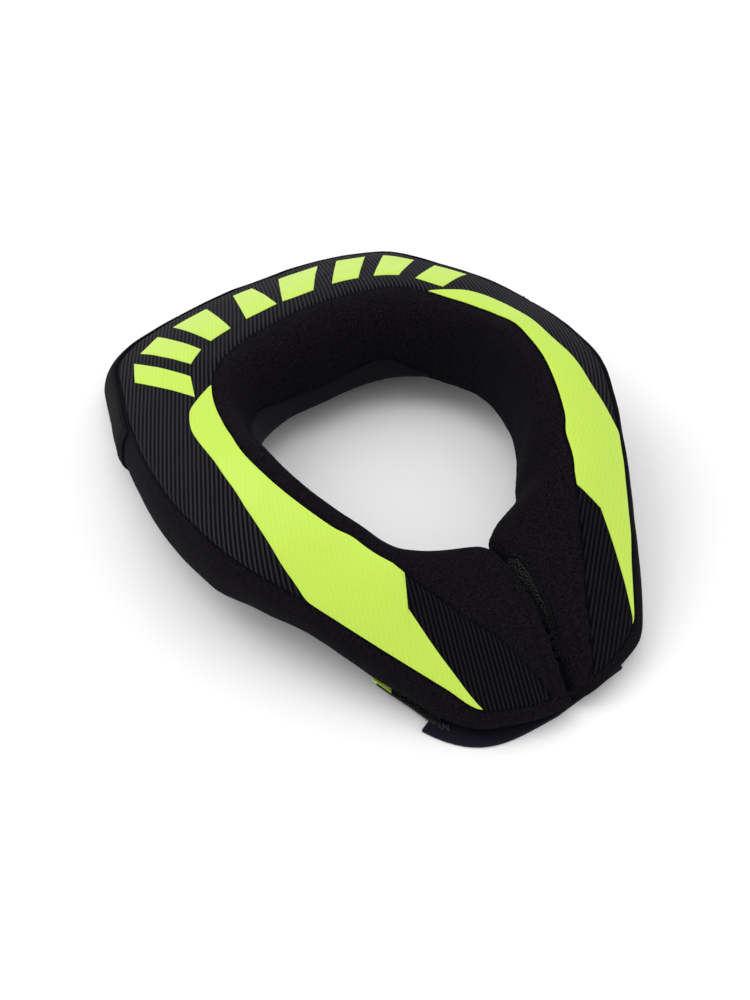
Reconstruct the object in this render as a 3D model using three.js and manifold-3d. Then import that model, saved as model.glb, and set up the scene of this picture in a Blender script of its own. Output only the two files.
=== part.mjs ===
// Padded neck brace: a horseshoe collar of foam in brushed jersey, open at the front, with a ribbed
// panel sewn into its top, two printed flashes, a wrap round its rear edge and a closing strap.
// Millimetres, +Z up. The origin is on the ground under the middle of the collar's outline.
// The closure points to -Y. Both halves are alike, but the slit between the lobes bows to +X.

import * as THREE from 'three';
import { mergeVertices } from 'three/addons/utils/BufferGeometryUtils.js';
import Module from 'manifold-3d';

const wasm = await Module();
wasm.setup();

// Neck hole, measured from its middle
const HOLE_HALF_WIDTH = 62;
const HOLE_REAR = 62;
const HOLE_FRONT = 71.5;

// Outline of the collar at its upper edge, measured from the middle of the hole
const HALF_WIDTH = 110;
const REAR_REACH = 155.5;
const FRONT_REACH = 143;
// How far the soft outer wall stands out past each reach, used to put the collar in the middle
const REAR_BULGE = 5.5;
const FRONT_BULGE = 2.5;

// Padding
const ROLL_HEIGHT = 76.5;
const ROLL_DEPTH = 24;
const YOKE_DOME = 2.2;
const EDGE_BULGE = 3.6;
const EDGE_TUCK = 8.5;
const FOOT_SLOPE = 0.95;
const SLIT_BOW = 5.5;
const CREST_SOFTNESS = 0.15;

// Sheet goods
const PANEL_THICKNESS = 1.6;
const FILM_THICKNESS = 0.6;
const FILM_LIFT = 0.45;
const LINING_THICKNESS = 1.2;
const WRAP_THICKNESS = 1.8;
const CLEARANCE = 0.3;

// Prints on the rear of the panel
const BAR_COUNT = 8;
const BAR_HALF_TURN = 4.4;
const BAR_FIRST = -47;
const BAR_LAST = 53;
const BAR_SLANT = 7;

// Closing strap and what lies on it, under the front
const STRAP_THICKNESS = 2.2;
const STRAP_WIDTH = 30;
const STRAP_LEFT = 63;
const STRAP_RIGHT = 32;
const STRAP_CORNER = 26;
const STRAP_TURN = -8;
const STRAP_SLANT = 0.12;
const STRAP_INSET = 1.5;
const STRAP_LAP = 9;
const STRIP_THICKNESS = 1.5;
const STRIP_WIDTH = 14;
const STRIP_REACH = 3.5;
const UNDER_THICKNESS = 1.2;
const UNDER_WIDTH = 6;
const UNDER_REACH = 1.5;
const TONGUE_THICKNESS = 1.6;
const TONGUE_DROP = 8;

// Faceting
const SIDE_STEP = 5;
const LOBE_STEP = 4;
const LOBE_START = 140;
const PANEL_STEPS = 6;
const FLASH_STEPS = 5;
const BAR_STEPS = 3;
const LINING_STEPS = 2;
const SEAT_OPENING = 6;

// Middle of the whole collar, bulges and wrap included, in the plan measured from the hole's middle
const MIDDLE_Y = (REAR_REACH + REAR_BULGE - FRONT_REACH - FRONT_BULGE) / 2;

// Both tables run along the right half, from the middle of the rear (0) to the front slit.
const SLIT_PLACE = 180;
// Plan: hole is the hole's edge and out the outer edge, as shares of the hole's and the outline's
// half width and of their rear or front reach.
const PLAN = [
  { at: 0, holeX: 0, holeY: 1, outX: 0, outY: 1 },
  { at: 15, holeX: 0.26, holeY: 1, outX: 0.355, outY: 0.978 },
  { at: 28, holeX: 0.5, holeY: 0.945, outX: 0.587, outY: 0.937 },
  { at: 40, holeX: 0.692, holeY: 0.842, outX: 0.741, outY: 0.844 },
  { at: 52, holeX: 0.849, holeY: 0.658, outX: 0.834, outY: 0.661 },
  { at: 64, holeX: 0.945, holeY: 0.459, outX: 0.919, outY: 0.481 },
  { at: 76, holeX: 0.993, holeY: 0.274, outX: 0.973, outY: 0.301 },
  { at: 90, holeX: 0.986, holeY: 0.068, outX: 1, outY: 0.093 },
  { at: 103, holeX: 0.945, holeY: -0.155, outX: 0.981, outY: -0.101 },
  { at: 116, holeX: 0.836, holeY: -0.369, outX: 0.896, outY: -0.28 },
  { at: 128, holeX: 0.712, holeY: -0.524, outX: 0.811, outY: -0.405 },
  { at: 139, holeX: 0.616, holeY: -0.631, outX: 0.749, outY: -0.494 },
  { at: 150, holeX: 0.548, holeY: -0.714, outX: 0.579, outY: -0.714 },
  { at: 158, holeX: 0.425, holeY: -0.774, outX: 0.475, outY: -0.833 },
  { at: 164, holeX: 0.301, holeY: -0.833, outX: 0.386, outY: -0.929 },
  { at: 170, holeX: 0.205, holeY: -0.881, outX: 0.259, outY: -0.973 },
  { at: 175, holeX: 0.135, holeY: -0.929, outX: 0.147, outY: -0.997 },
  { at: 178, holeX: 0.092, holeY: -0.964, outX: 0.077, outY: -1 },
  { at: SLIT_PLACE, holeX: 0.068, holeY: -1, outX: 0.042, outY: -0.994 },
];

// Fullness: wall, crest, edge and low are the heights of the innermost wall, the roll's crest, the
// outer edge and the underside, as shares of ROLL_HEIGHT. lean is how far the crest stands back
// from the hole's edge, as a share of ROLL_DEPTH, and tuck how far the underside stays in from the
// outer edge, as a share of EDGE_TUCK. belly is how full the inner wall is, from a straight slope
// (0) to a quarter of an ellipse (1).
const FULLNESS = [
  { at: 0, wall: 0.222, lean: 0.893, crest: 0.756, edge: 0.289, low: 0, tuck: 0.2, belly: 0.9 },
  { at: 15, wall: 0.222, lean: 0.839, crest: 0.756, edge: 0.289, low: 0, tuck: 0.2, belly: 0.9 },
  { at: 28, wall: 0.233, lean: 0.804, crest: 0.767, edge: 0.294, low: 0, tuck: -0.2, belly: 0.9 },
  { at: 40, wall: 0.256, lean: 0.75, crest: 0.783, edge: 0.356, low: 0.022, tuck: -1.1, belly: 0.85 },
  { at: 52, wall: 0.289, lean: 0.571, crest: 0.8, edge: 0.483, low: 0.067, tuck: -1, belly: 0.8 },
  { at: 64, wall: 0.311, lean: 0.411, crest: 0.856, edge: 0.567, low: 0.122, tuck: -0.5, belly: 0.7 },
  { at: 76, wall: 0.333, lean: 0.286, crest: 0.911, edge: 0.628, low: 0.156, tuck: -0.15, belly: 0.6 },
  { at: 90, wall: 0.356, lean: 0.268, crest: 0.972, edge: 0.7, low: 0.189, tuck: 0.1, belly: 0.6 },
  { at: 103, wall: 0.344, lean: 0.304, crest: 0.967, edge: 0.739, low: 0.2, tuck: 0.2, belly: 0.6 },
  { at: 116, wall: 0.344, lean: 0.446, crest: 0.933, edge: 0.694, low: 0.211, tuck: 0.8, belly: 0.5 },
  { at: 128, wall: 0.344, lean: 0.607, crest: 0.889, edge: 0.65, low: 0.222, tuck: 0.8, belly: 0.4 },
  { at: 139, wall: 0.344, lean: 0.714, crest: 0.85, edge: 0.6, low: 0.2, tuck: 0.7, belly: 0.3 },
  { at: 150, wall: 0.356, lean: 0.893, crest: 0.811, edge: 0.439, low: 0.056, tuck: 0.2, belly: 0.2 },
  { at: 158, wall: 0.4, lean: 0.857, crest: 0.756, edge: 0.328, low: 0.008, tuck: -0.4, belly: 0.1 },
  { at: 164, wall: 0.444, lean: 0.714, crest: 0.678, edge: 0.228, low: 0, tuck: 0.2, belly: 0.1 },
  { at: 170, wall: 0.467, lean: 0.607, crest: 0.617, edge: 0.211, low: 0, tuck: 0.4, belly: 0.1 },
  { at: 175, wall: 0.467, lean: 0.464, crest: 0.572, edge: 0.194, low: 0, tuck: 0.5, belly: 0.2 },
  { at: 178, wall: 0.456, lean: 0.393, crest: 0.544, edge: 0.161, low: 0, tuck: 0.5, belly: 0.3 },
  { at: SLIT_PLACE, wall: 0.444, lean: 0.321, crest: 0.5, edge: 0.111, low: 0, tuck: 0.5, belly: 0.3 },
];

// Inner seam of the ribbed panel on the top, from the crest (share 0) to the outer edge (share 1)
const PANEL_SEAM = [
  { at: 0, share: 0.095 }, { at: 15, share: 0.09 }, { at: 28, share: 0.082 }, { at: 40, share: 0.09 },
  { at: 52, share: 0.13 }, { at: 64, share: 0.135 }, { at: 76, share: 0.152 }, { at: 90, share: 0.197 },
  { at: 103, share: 0.19 }, { at: 116, share: 0.18 }, { at: 128, share: 0.17 }, { at: 139, share: 0.125 },
  { at: 148, share: 0.135 }, { at: 152, share: 0.2 }, { at: 158, share: 0.315 }, { at: 164, share: 0.44 },
  { at: 168, share: 0.535 }, { at: 172, share: 0.69 }, { at: 174.5, share: 0.83 },
  { at: 176.3, share: 0.985 },
];

// A smooth run through the values of one column, without overshoot between two rows
function smoothColumn(rows, column) {
  const at = rows.map((row) => row.at);
  const value = rows.map((row) => row[column]);
  const rise = at.slice(1).map((place, i) => (value[i + 1] - value[i]) / (place - at[i]));
  const slope = value.map((_, i) => {
    if (i === 0 || i === value.length - 1) return 0;
    const product = rise[i - 1] * rise[i];
    return product <= 0 ? 0 : (2 * product) / (rise[i - 1] + rise[i]);
  });
  slope[value.length - 1] = rise[rise.length - 1];
  return (place) => {
    let i = 0;
    while (i < at.length - 2 && place > at[i + 1]) i += 1;
    const span = at[i + 1] - at[i];
    const u = (place - at[i]) / span;
    const startShare = (1 + 2 * u) * (1 - u) ** 2;
    const endShare = u * u * (3 - 2 * u);
    const startPull = u * (1 - u) ** 2 * span;
    const endPull = u * u * (u - 1) * span;
    return startShare * value[i] + endShare * value[i + 1] + startPull * slope[i] + endPull * slope[i + 1];
  };
}

const column = {};
for (const table of [PLAN, FULLNESS]) {
  for (const name of Object.keys(table[0])) column[name] = smoothColumn(table, name);
}
const panelSeam = smoothColumn(PANEL_SEAM, 'share');

// Places where the rise onto the strap ends and between which the slit's bow grows
const LIFT_END = 155;
const BOW_START = 150;
const BOW_END = 178;

// The real lengths of the section at one place of the run, which is negative on the left half
function section(at) {
  const place = Math.abs(at);
  const side = at < 0 ? -1 : 1;
  const holeShare = column.holeY(place);
  const outShare = column.outY(place);
  const hole = new THREE.Vector2(
    side * column.holeX(place) * HOLE_HALF_WIDTH,
    holeShare * (holeShare > 0 ? HOLE_REAR : HOLE_FRONT) - MIDDLE_Y,
  );
  const out = new THREE.Vector2(
    side * column.outX(place) * HALF_WIDTH,
    outShare * (outShare > 0 ? REAR_REACH : FRONT_REACH) - MIDDLE_Y,
  );
  const depth = out.distanceTo(hole);
  return {
    hole,
    outward: out.clone().sub(hole).divideScalar(depth),
    depth,
    wall: column.wall(place) * ROLL_HEIGHT,
    crestIn: column.lean(place) * ROLL_DEPTH,
    crest: column.crest(place) * ROLL_HEIGHT,
    edge: column.edge(place) * ROLL_HEIGHT,
    low: column.low(place) * ROLL_HEIGHT + lobeLift(place),
    tuck: column.tuck(place) * EDGE_TUCK,
    belly: column.belly(place),
    bow: SLIT_BOW * THREE.MathUtils.smoothstep(place, BOW_START, BOW_END),
  };
}

// The lobes stand on the closing strap
function lobeLift(place) {
  return (STRAP_THICKNESS + CLEARANCE) * THREE.MathUtils.smoothstep(place, LOBE_START, LIFT_END);
}

// A point of a section, given by its distance from the hole's edge and its height
function inSpace(cut, across, height) {
  const bow = cut.bow * Math.sin(Math.PI * THREE.MathUtils.clamp(across / cut.depth, 0, 1));
  return new THREE.Vector3(
    cut.hole.x + cut.outward.x * across + bow,
    cut.hole.y + cut.outward.y * across,
    height,
  );
}

// Top of the padding: level at the crest, then falling ever more evenly to the outer edge
function topProfile(cut, share) {
  const fall = (share * share * (1 + CREST_SOFTNESS)) / (share + CREST_SOFTNESS);
  const across = THREE.MathUtils.lerp(cut.crestIn, cut.depth, share);
  const height = THREE.MathUtils.lerp(cut.crest, cut.edge, fall) + YOKE_DOME * Math.sin(Math.PI * share);
  return [across, height];
}

// Inner wall: from the innermost line (share 0) up to the crest (share 1)
function wallProfile(cut, share) {
  const turn = (share * Math.PI) / 2;
  const back = THREE.MathUtils.lerp(share, 1 - Math.cos(turn), cut.belly);
  return [cut.crestIn * back, cut.wall + (cut.crest - cut.wall) * Math.sin(turn)];
}

// Outer wall: from the outer edge (share 0) over its fullest line and its lower bend to the
// underside (share 1). Both lines are placed by shares of the wall's height, bulge and tuck.
const FULLEST = { height: 0.65, bulge: 1, tuck: 0.2 };
const BEND = { height: 0.25, bulge: 0.8, tuck: 0.6 };
function outerProfile(cut, share) {
  const lineOf = (place) => new THREE.Vector2(
    cut.depth + place.bulge * EDGE_BULGE - place.tuck * cut.tuck,
    THREE.MathUtils.lerp(cut.low, cut.edge, place.height),
  );
  const curve = new THREE.SplineCurve([
    new THREE.Vector2(cut.depth, cut.edge),
    lineOf(FULLEST),
    lineOf(BEND),
    new THREE.Vector2(cut.depth - cut.tuck - EDGE_BULGE, cut.low),
  ]);
  const point = curve.getPoint(share);
  return [point.x, Math.max(point.y, cut.low)];
}

const WALL_STEPS = 7;
const TOP_STEPS = 9;
const OUTER_STEPS = 6;
function bodyRing(at) {
  const cut = section(at);
  const ring = [];
  for (let i = 0; i < WALL_STEPS; i += 1) ring.push(wallProfile(cut, i / WALL_STEPS));
  for (let i = 0; i < TOP_STEPS; i += 1) ring.push(topProfile(cut, i / TOP_STEPS));
  for (let i = 0; i <= OUTER_STEPS; i += 1) ring.push(outerProfile(cut, i / OUTER_STEPS));
  const foot = FOOT_SLOPE * (cut.wall - cut.low);
  ring.push([(cut.depth + foot) / 2, cut.low]);
  ring.push([foot, cut.low]);
  return ring.map(([across, height]) => inSpace(cut, across, height));
}

// Places along the run, the same ones for every piece, closer together where the lobes turn in
const RUN = [];
for (let at = -SLIT_PLACE; at <= SLIT_PLACE; ) {
  RUN.push(at);
  const alongSide = at >= -LOBE_START && at < LOBE_START;
  at += alongSide ? SIDE_STEP : LOBE_STEP;
}
const LEAST_STEP = 0.2;
function places(from, to) {
  return [from, ...RUN.filter((at) => at > from + LEAST_STEP && at < to - LEAST_STEP), to];
}

// A closed solid through rings of equally many points, with a flat or nearly flat cap at each end
function loft(rings) {
  const count = rings[0].length;
  const positions = rings.flat().flatMap((point) => [point.x, point.y, point.z]);
  const indices = [];
  for (let i = 0; i < rings.length - 1; i += 1) {
    for (let j = 0; j < count; j += 1) {
      const a = i * count + j;
      const b = i * count + ((j + 1) % count);
      indices.push(a, a + count, b, b, a + count, b + count);
    }
  }
  for (const [first, flip] of [[0, false], [(rings.length - 1) * count, true]]) {
    const ring = rings[first / count];
    const flat = flatten(ring);
    for (const [a, b, c] of THREE.ShapeUtils.triangulateShape(flat, [])) {
      if (flip) indices.push(first + a, first + c, first + b);
      else indices.push(first + a, first + b, first + c);
    }
  }
  const geometry = new THREE.BufferGeometry();
  geometry.setAttribute('position', new THREE.Float32BufferAttribute(positions, 3));
  geometry.setIndex(indices);
  return outward(geometry);
}

// The ring seen square on, in the plane that fits it
function flatten(ring) {
  const middle = ring.reduce((sum, point) => sum.add(point), new THREE.Vector3()).divideScalar(ring.length);
  const normal = new THREE.Vector3();
  ring.forEach((point, i) => {
    const next = ring[(i + 1) % ring.length];
    normal.add(point.clone().sub(middle).cross(next.clone().sub(middle)));
  });
  normal.normalize();
  const u = ring[0].clone().sub(middle).projectOnPlane(normal).normalize();
  const v = normal.clone().cross(u);
  return ring.map((point) => {
    const arm = point.clone().sub(middle);
    return new THREE.Vector2(arm.dot(u), arm.dot(v));
  });
}

// Turns a closed solid's faces outward where they point in
function outward(geometry) {
  const position = geometry.getAttribute('position');
  const index = geometry.getIndex();
  const corner = [new THREE.Vector3(), new THREE.Vector3(), new THREE.Vector3()];
  let volume = 0;
  for (let i = 0; i < index.count; i += 3) {
    corner.forEach((point, k) => point.fromBufferAttribute(position, index.getX(i + k)));
    volume += corner[0].dot(corner[1].clone().cross(corner[2]));
  }
  if (volume < 0) {
    const turned = [];
    for (let i = 0; i < index.count; i += 3) {
      turned.push(index.getX(i), index.getX(i + 2), index.getX(i + 1));
    }
    geometry.setIndex(turned);
  }
  return geometry;
}

// A point on a skin of the collar, moved out along the skin's own normal
const NUDGE = 0.01;
function onSkin(profile, at, share, lift) {
  const cut = section(at);
  const point = inSpace(cut, ...profile(cut, share));
  const beside = section(at < 0 ? at + 1 : at - 1);
  const along = inSpace(beside, ...profile(beside, share)).sub(point).multiplyScalar(at < 0 ? 1 : -1);
  const start = share > 0.5 ? share - NUDGE : share;
  const across = inSpace(cut, ...profile(cut, start + NUDGE)).sub(inSpace(cut, ...profile(cut, start)));
  return point.addScaledVector(along.cross(across).normalize(), lift);
}

// A sheet that follows a skin of the collar. across gives the place and the share on the skin for
// each stop of the run and each step (0 to 1) over the sheet's width.
function sheet({ profile, stops, across, lift, thickness, steps }) {
  const rings = stops.map((stop) => {
    const upper = [];
    const lower = [];
    for (let i = 0; i <= steps; i += 1) {
      const { at, share } = across(stop, i / steps);
      upper.push(onSkin(profile, at, share, lift + thickness));
      lower.unshift(onSkin(profile, at, share, lift));
    }
    return [...upper, ...lower];
  });
  return loft(rings);
}

// The width between two lines, each a share on the skin that depends on the place
function between(low, high) {
  return (at, step) => ({ at, share: THREE.MathUtils.lerp(low(Math.abs(at)), high(Math.abs(at)), step) });
}

function mirrored(stops) {
  return stops.map((at) => -at).reverse();
}

function toSolid(geometry) {
  const bare = geometry.clone();
  bare.deleteAttribute('normal');
  bare.deleteAttribute('uv');
  const merged = mergeVertices(bare);
  return new wasm.Manifold(new wasm.Mesh({
    numProp: 3,
    vertProperties: new Float32Array(merged.getAttribute('position').array),
    triVerts: new Uint32Array(merged.getIndex().array),
  }));
}

function toGeometry(solid) {
  const mesh = solid.getMesh();
  const geometry = new THREE.BufferGeometry();
  geometry.setAttribute('position', new THREE.Float32BufferAttribute(mesh.vertProperties, 3));
  geometry.setIndex([...mesh.triVerts]);
  return geometry;
}

const MATERIALS = {
  jersey: { color: 0x17161a, roughness: 0.95, metalness: 0 },
  ribbed: { color: 0x222228, roughness: 0.8, metalness: 0 },
  film: { color: 0xd0f25a, roughness: 0.45, metalness: 0 },
  woven: { color: 0x1b1b20, roughness: 0.85, metalness: 0 },
  lining: { color: 0x26242b, roughness: 0.8, metalness: 0 },
  bright: { color: 0xb8d850, roughness: 0.8, metalness: 0 },
  strap: { color: 0x23262f, roughness: 0.7, metalness: 0 },
  hook: { color: 0x101012, roughness: 0.9, metalness: 0 },
};

const group = new THREE.Group();
function addMesh(name, geometry, material) {
  const mesh = new THREE.Mesh(geometry, new THREE.MeshStandardMaterial(MATERIALS[material]));
  mesh.name = name;
  group.add(mesh);
}

// Ribbed panel, sewn in flush with the jersey, and the seat that it needs in the padding
const PANEL_END = PANEL_SEAM[PANEL_SEAM.length - 1].at;
function panelSheet(growth, lift, thickness) {
  const inShares = (at) => growth / (section(at).depth - section(at).crestIn);
  return sheet({
    profile: topProfile,
    stops: places(-PANEL_END - growth, PANEL_END + growth),
    across: between(
      (at) => panelSeam(Math.min(at, PANEL_END) - 2 * growth) - inShares(at),
      (at) => 1 + inShares(at),
    ),
    lift,
    thickness,
    steps: PANEL_STEPS,
  });
}

// Lining of the rear of the hole: a band along the foot of the inner wall, highest at its two ends
const LINING_BAND = [
  { at: 0, share: 0.17 }, { at: 20, share: 0.2 }, { at: 36, share: 0.3 }, { at: 48, share: 0.34 },
];
const liningTop = smoothColumn(LINING_BAND, 'share');
const LINING_END = LINING_BAND[LINING_BAND.length - 1].at;
function liningSheet(growth, lift, thickness) {
  const inShares = growth / ROLL_HEIGHT;
  return sheet({
    profile: wallProfile,
    stops: places(-LINING_END - growth, LINING_END + growth),
    across: between(
      () => -inShares,
      (at) => liningTop(Math.min(at, LINING_END)) + inShares,
    ),
    lift,
    thickness,
    steps: LINING_STEPS,
  });
}

// Flash: a printed film on each side of the panel, from a tip at the rear to a tip at the front.
// Its inner line is the panel's seam as far as the corner, then it runs out to the front tip.
const FLASH_EDGE = [
  { at: 50, share: 0.16 }, { at: 56, share: 0.28 }, { at: 63, share: 0.4 }, { at: 72, share: 0.455 },
  { at: 84, share: 0.455 }, { at: 96, share: 0.49 }, { at: 106, share: 0.565 }, { at: 115, share: 0.69 },
  { at: 124, share: 0.85 }, { at: 134, share: 0.98 }, { at: 164.5, share: 0.985 },
];
const FLASH_FRONT = [{ at: 152, share: 0.53 }, { at: 158, share: 0.77 }, { at: 164.5, share: 0.965 }];
const flashEdge = smoothColumn(FLASH_EDGE, 'share');
const flashFront = smoothColumn(FLASH_FRONT, 'share');
const FLASH_TIP = FLASH_EDGE[0].at;
const FLASH_CORNER = FLASH_FRONT[0].at;
const FLASH_END = FLASH_EDGE[FLASH_EDGE.length - 1].at;
const FLASH_STOPS = [...places(FLASH_TIP, FLASH_CORNER - LEAST_STEP), ...places(FLASH_CORNER, FLASH_END)];
function flashSheet(stops) {
  return sheet({
    profile: topProfile,
    stops,
    across: between((at) => (at < FLASH_CORNER ? panelSeam(at) : flashFront(at)), flashEdge),
    lift: FILM_LIFT,
    thickness: FILM_THICKNESS,
    steps: FLASH_STEPS,
  });
}

// One slanted bar of the rear print, of the same film as the flashes
const BAR_INNER = 0.3;
const BAR_OUTER = 0.84;
function barSheet(middle) {
  return sheet({
    profile: topProfile,
    stops: [-1, -0.5, 0, 0.5, 1],
    across: (stop, step) => ({
      at: middle + stop * BAR_HALF_TURN + (step - 0.5) * BAR_SLANT,
      share: THREE.MathUtils.lerp(BAR_INNER, BAR_OUTER, step),
    }),
    lift: FILM_LIFT,
    thickness: FILM_THICKNESS,
    steps: BAR_STEPS,
  });
}

// Woven wrap round the rear of the outer wall. Its facets are halves of the wall's own ones.
const WRAP_END = 64;
const WRAP_FACETS = 2 * OUTER_STEPS;
const WRAP_STEPS = WRAP_FACETS - 3;
function wrapSheet() {
  return sheet({
    profile: outerProfile,
    stops: places(-WRAP_END, WRAP_END),
    across: between(() => 1 / WRAP_FACETS, () => (WRAP_STEPS + 1) / WRAP_FACETS),
    lift: CLEARANCE,
    thickness: WRAP_THICKNESS,
    steps: WRAP_STEPS,
  });
}

// A flat sheet of an outline in plan, lying at one height
function flatSheet(outline, height, thickness) {
  const shape = new THREE.Shape(outline.map(([x, y]) => new THREE.Vector2(x, y)));
  const geometry = new THREE.ExtrudeGeometry(shape, { depth: thickness, bevelEnabled: false });
  return geometry.translate(0, 0, height);
}

// Front line of the strap: straight, slanting back to the right of its turn and rounded at its left
const STRAP_FRONT = -FRONT_REACH - MIDDLE_Y + STRAP_INSET;
const STRAP_STEPS = 12;
const CORNER_POWER = 5;
function strapOutline() {
  const outline = [];
  for (let i = 0; i <= STRAP_STEPS; i += 1) {
    const x = THREE.MathUtils.lerp(-STRAP_LEFT, STRAP_TURN, i / STRAP_STEPS);
    outline.push([x, STRAP_FRONT + STRAP_CORNER * (-x / STRAP_LEFT) ** CORNER_POWER]);
  }
  outline.push([STRAP_RIGHT, STRAP_FRONT + STRAP_SLANT * (STRAP_RIGHT - STRAP_TURN)]);
  outline.push([STRAP_RIGHT, STRAP_FRONT + STRAP_WIDTH]);
  outline.push([STRAP_LAP - STRAP_LEFT, STRAP_FRONT + STRAP_WIDTH]);
  return outline;
}

// A band under the edge of a lobe, between two places, of a width that ends a reach past the edge
function underBand(from, to, width, reach) {
  const line = (across) => places(from, to).map((at) => {
    const cut = section(at);
    const point = inSpace(cut, cut.depth - cut.tuck + across, 0);
    return [point.x, point.y];
  });
  return [...line(reach), ...line(reach - width).reverse()];
}

// Hook tongue, sewn onto the right lobe beside the slit and sloping down across it
const TONGUE_RIM = [
  { share: 0.08, at: 178.6 }, { share: 0.14, at: 177.5 }, { share: 0.22, at: 177.8 },
  { share: 0.34, at: 178.6 }, { share: 0.48, at: 179.3 }, { share: 0.6, at: 179.7 },
];
function tongueSheet() {
  const rings = TONGUE_RIM.map(({ share, at }) => {
    const right = section(SLIT_PLACE);
    const left = section(-SLIT_PLACE);
    const edge = inSpace(right, ...topProfile(right, share));
    const far = inSpace(left, ...topProfile(left, share));
    const lower = [
      onSkin(topProfile, at, share, CLEARANCE),
      onSkin(topProfile, (at + SLIT_PLACE) / 2, share, 2 * CLEARANCE),
      edge.add(new THREE.Vector3(-CLEARANCE, 0, 2 * CLEARANCE)),
      far.add(new THREE.Vector3(CLEARANCE, 0, -TONGUE_DROP)),
    ];
    const upper = lower.map((point) => point.clone().add(new THREE.Vector3(0, 0, TONGUE_THICKNESS)));
    return [...lower, ...upper.reverse()];
  });
  return loft(rings);
}

// The hook strip and the edges of the bright lining, each with the seat that it needs
const STRIP_PLACES = { from: -157, to: -149, width: STRIP_WIDTH, reach: STRIP_REACH };
const LINING_LEFT = { from: -152, to: -148, width: UNDER_WIDTH, reach: UNDER_REACH };
const LINING_RIGHT = { from: 167, to: 172, width: UNDER_WIDTH, reach: UNDER_REACH };
const STRIP_HEIGHT = STRAP_THICKNESS + CLEARANCE;
const UNDER_HEIGHT = STRIP_HEIGHT + STRIP_THICKNESS + CLEARANCE;
function underSheet(band, height, thickness) {
  return flatSheet(underBand(band.from, band.to, band.width, band.reach), height, thickness);
}

function underSeat(band, top) {
  const wider = underBand(
    band.from - CLEARANCE,
    band.to + CLEARANCE,
    band.width + 2 * CLEARANCE,
    band.reach + CLEARANCE,
  );
  return flatSheet(wider, 0, top + CLEARANCE);
}

const seats = [
  panelSheet(CLEARANCE, -PANEL_THICKNESS - CLEARANCE, SEAT_OPENING),
  liningSheet(CLEARANCE, -LINING_THICKNESS - CLEARANCE, SEAT_OPENING),
  underSeat(STRIP_PLACES, STRIP_HEIGHT + STRIP_THICKNESS),
  underSeat(LINING_LEFT, UNDER_HEIGHT + UNDER_THICKNESS),
  underSeat(LINING_RIGHT, STRIP_HEIGHT + UNDER_THICKNESS),
  tongueSheet(),
  tongueSheet().translate(CLEARANCE, 0, -CLEARANCE),
];
let body = toSolid(loft(places(-SLIT_PLACE, SLIT_PLACE).map(bodyRing)));
for (const seat of seats) body = body.subtract(toSolid(seat));

addMesh('collar_body', toGeometry(body), 'jersey');
addMesh('yoke_panel', panelSheet(0, -PANEL_THICKNESS, PANEL_THICKNESS), 'ribbed');
addMesh('inner_lining', liningSheet(0, -LINING_THICKNESS, LINING_THICKNESS), 'lining');
addMesh('flash_right', flashSheet(FLASH_STOPS), 'film');
addMesh('flash_left', flashSheet(mirrored(FLASH_STOPS)), 'film');
for (let i = 0; i < BAR_COUNT; i += 1) {
  const middle = THREE.MathUtils.lerp(BAR_FIRST, BAR_LAST, i / (BAR_COUNT - 1));
  addMesh(`print_bar_${i + 1}`, barSheet(middle), 'film');
}
addMesh('rear_wrap', wrapSheet(), 'woven');
addMesh('hook_tongue', tongueSheet(), 'hook');
addMesh('front_strap', flatSheet(strapOutline(), 0, STRAP_THICKNESS), 'strap');
addMesh('hook_strip', underSheet(STRIP_PLACES, STRIP_HEIGHT, STRIP_THICKNESS), 'hook');
addMesh('under_lining_left', underSheet(LINING_LEFT, UNDER_HEIGHT, UNDER_THICKNESS), 'bright');
addMesh('under_lining_right', underSheet(LINING_RIGHT, STRIP_HEIGHT, UNDER_THICKNESS), 'bright');

export default group;
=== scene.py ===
"""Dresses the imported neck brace: padded jersey collar, ribbed panel, bright prints and closure.

Metres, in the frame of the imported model. The tables hold shares of the collar's named lengths,
as the part's source does, so each soft piece lies in the space of its solid.
"""

import math
import random
from collections import namedtuple

import bpy
from mathutils import Matrix, Vector, noise
from mathutils.bvhtree import BVHTree
from mathutils.kdtree import KDTree


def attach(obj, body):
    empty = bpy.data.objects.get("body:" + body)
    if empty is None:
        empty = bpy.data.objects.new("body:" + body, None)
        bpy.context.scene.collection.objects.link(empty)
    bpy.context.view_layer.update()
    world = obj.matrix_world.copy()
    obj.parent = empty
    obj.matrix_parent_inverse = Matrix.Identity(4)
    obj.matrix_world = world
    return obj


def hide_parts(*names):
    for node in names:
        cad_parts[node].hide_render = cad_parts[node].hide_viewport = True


bl_info = {
    "name": "Neck brace",
    "version": (1, 0, 0),
    "blender": (4, 5, 0),
    "location": "View3D > Sidebar > Neck brace",
    "description": "Builds the soft pieces of a foam neck brace round its packed model",
    "category": "Object",
}

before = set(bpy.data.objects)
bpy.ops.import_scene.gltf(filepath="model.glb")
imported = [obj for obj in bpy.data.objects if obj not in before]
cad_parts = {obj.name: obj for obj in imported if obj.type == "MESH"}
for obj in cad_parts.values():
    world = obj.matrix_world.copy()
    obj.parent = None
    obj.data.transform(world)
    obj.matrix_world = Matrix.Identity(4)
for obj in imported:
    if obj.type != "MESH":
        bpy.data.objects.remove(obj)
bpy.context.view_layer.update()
BODY = "root"
PADDING = "foam_collar"
MM = 0.001

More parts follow.
